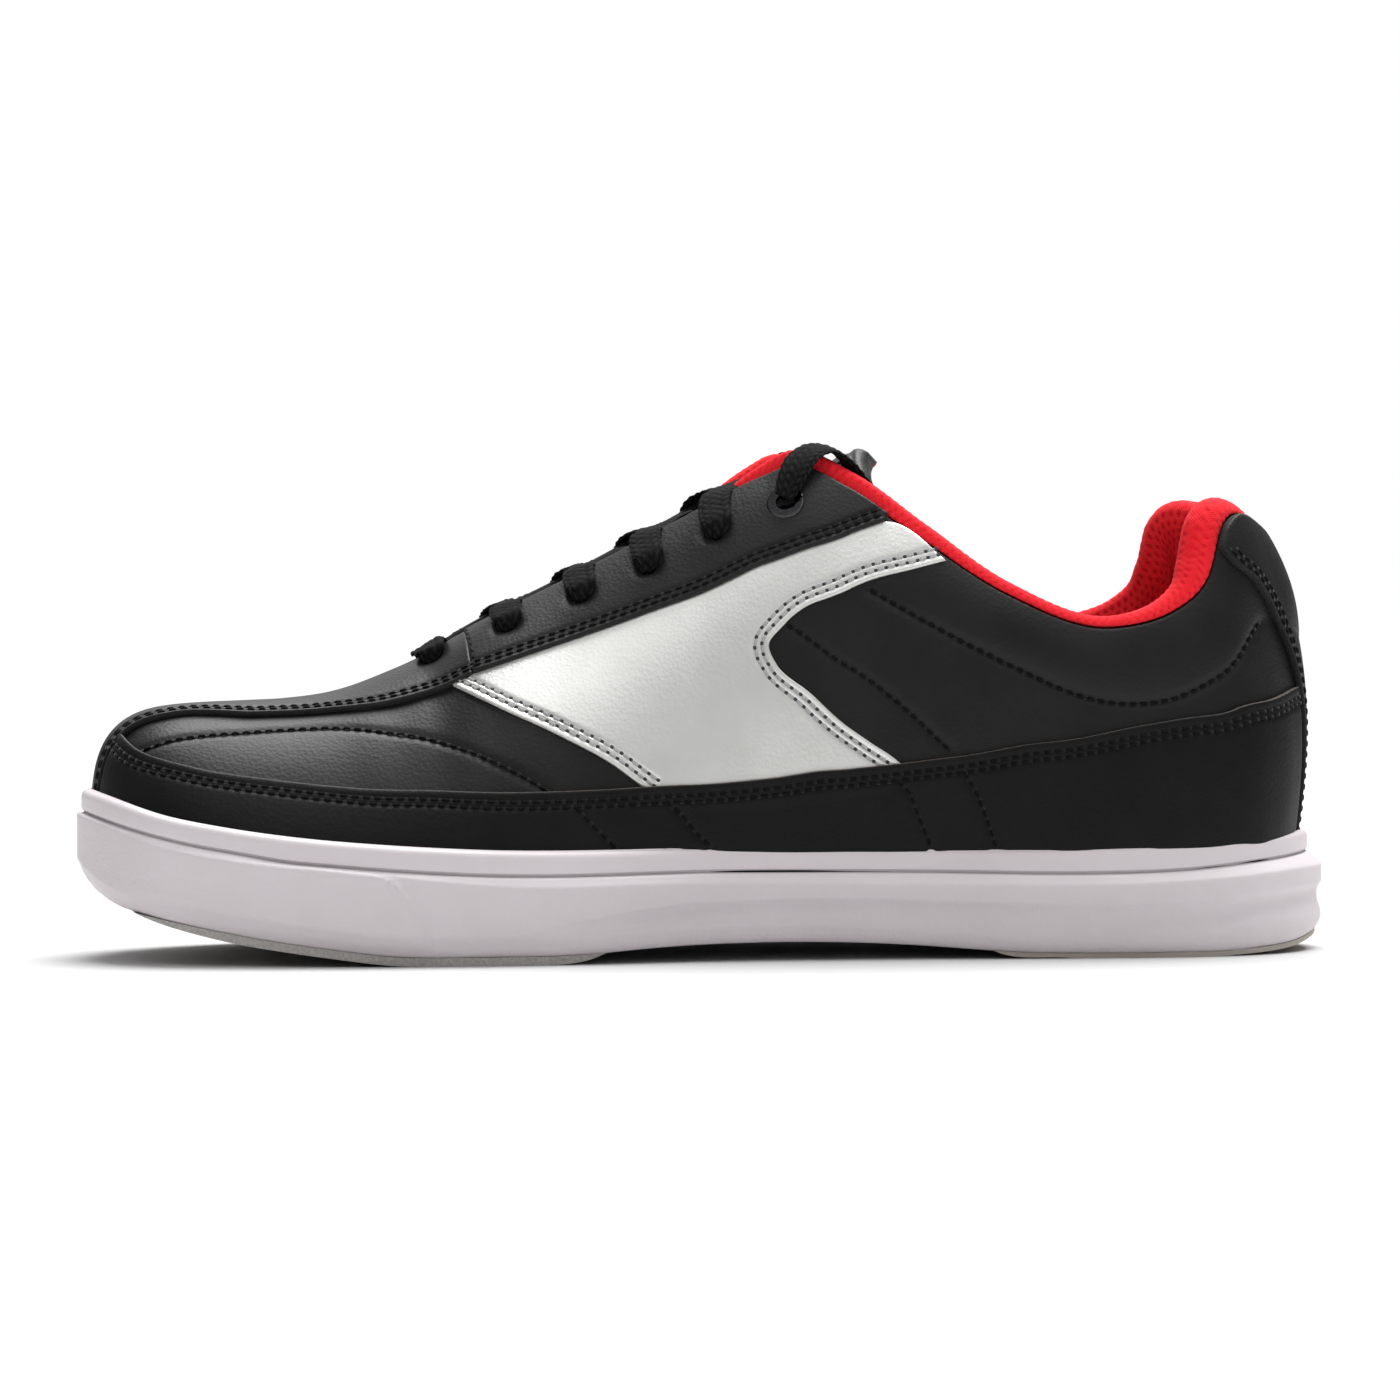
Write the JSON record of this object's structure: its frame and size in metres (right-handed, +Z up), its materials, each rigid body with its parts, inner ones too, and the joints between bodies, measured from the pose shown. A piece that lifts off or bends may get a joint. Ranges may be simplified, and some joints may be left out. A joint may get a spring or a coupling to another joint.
{
  "type": "bowling shoe",
  "caption": "Low laced shoe for the right foot: moulded cup sole with a slide pad, stitched leather upper with a silver saddle stripe, padded red collar, hinged tongue and flat laces.",
  "frame": {"origin": "on the ground under the middle of the shoe's outline", "axes": "+X to the heel, -X to the toe; -Y the inner (medial) side, +Y the outer side; +Z up"},
  "size_m": [0.3, 0.1104, 0.1218],
  "materials": {
    "sole_rubber": "moulded, grained wall, pale cool grey-white",
    "slide_microfibre": "brushed microfibre",
    "heel_rubber": "brown rubber",
    "eva_foam": "closed-cell foam",
    "steel": "spring steel",
    "fibre_board": "pressed fibre board",
    "sock_cloth": "fine woven cover",
    "black_leather": "matte fine-grained black",
    "guard_leather": "matte fine-grained, deeper black",
    "silver_leather": "metallic silver",
    "stiffener": "thermoplastic sheet",
    "lining_cloth": "brushed cloth",
    "red_knit": "red air-mesh knit",
    "label_cloth": "blank woven label",
    "lace_cord": "black flat braid",
    "aglet_plastic": "clear-black tube",
    "black_chrome": "black chrome"
  },
  "bodies": {
    "shoe": {"aglet_lateral": "aglet_plastic", "aglet_medial": "aglet_plastic", "collar_foam": "eva_foam", "collar_lining": "red_knit", "cupsole": "sole_rubber", "eyelet_ring_lateral": "black_chrome", "eyelet_ring_medial": "black_chrome", "eyestay_lateral": "black_leather", "eyestay_medial": "black_leather", "heel_counter": "stiffener", "heel_pad": "heel_rubber", "heel_tab": "black_leather", "insole_board": "fibre_board", "lace": "lace_cord", "lace_end_lateral": "lace_cord", "lace_end_medial": "lace_cord", "midsole_filler": "eva_foam", "mudguard_lateral": "guard_leather", "mudguard_medial": "guard_leather", "quarter_lateral": "black_leather", "quarter_lining_lateral": "red_knit", "quarter_lining_medial": "red_knit", "quarter_medial": "black_leather", "shank": "steel", "slide_pad": "slide_microfibre", "sockliner_cover": "sock_cloth", "sockliner_foam": "eva_foam", "stripe_lateral": "silver_leather", "stripe_medial": "silver_leather", "toe_panel_lateral": "black_leather", "toe_panel_medial": "black_leather", "toe_puff": "stiffener", "vamp_lining": "lining_cloth", "vamp_strip": "black_leather"},
    "tongue": {"tongue_face": "black_leather", "tongue_foam": "eva_foam", "tongue_lining": "red_knit", "tongue_label": "label_cloth"}
  },
  "joints": [
    {"name": "tongue_hinge", "type": "hinge", "parent": "shoe", "child": "tongue", "pos_m": [-0.06, -0.003, 0.065], "axis": [0, 1, 0], "range_deg": [0, 12], "stiffness_Nm_per_rad": 0.25, "springref_deg": -6.88}
  ]
}
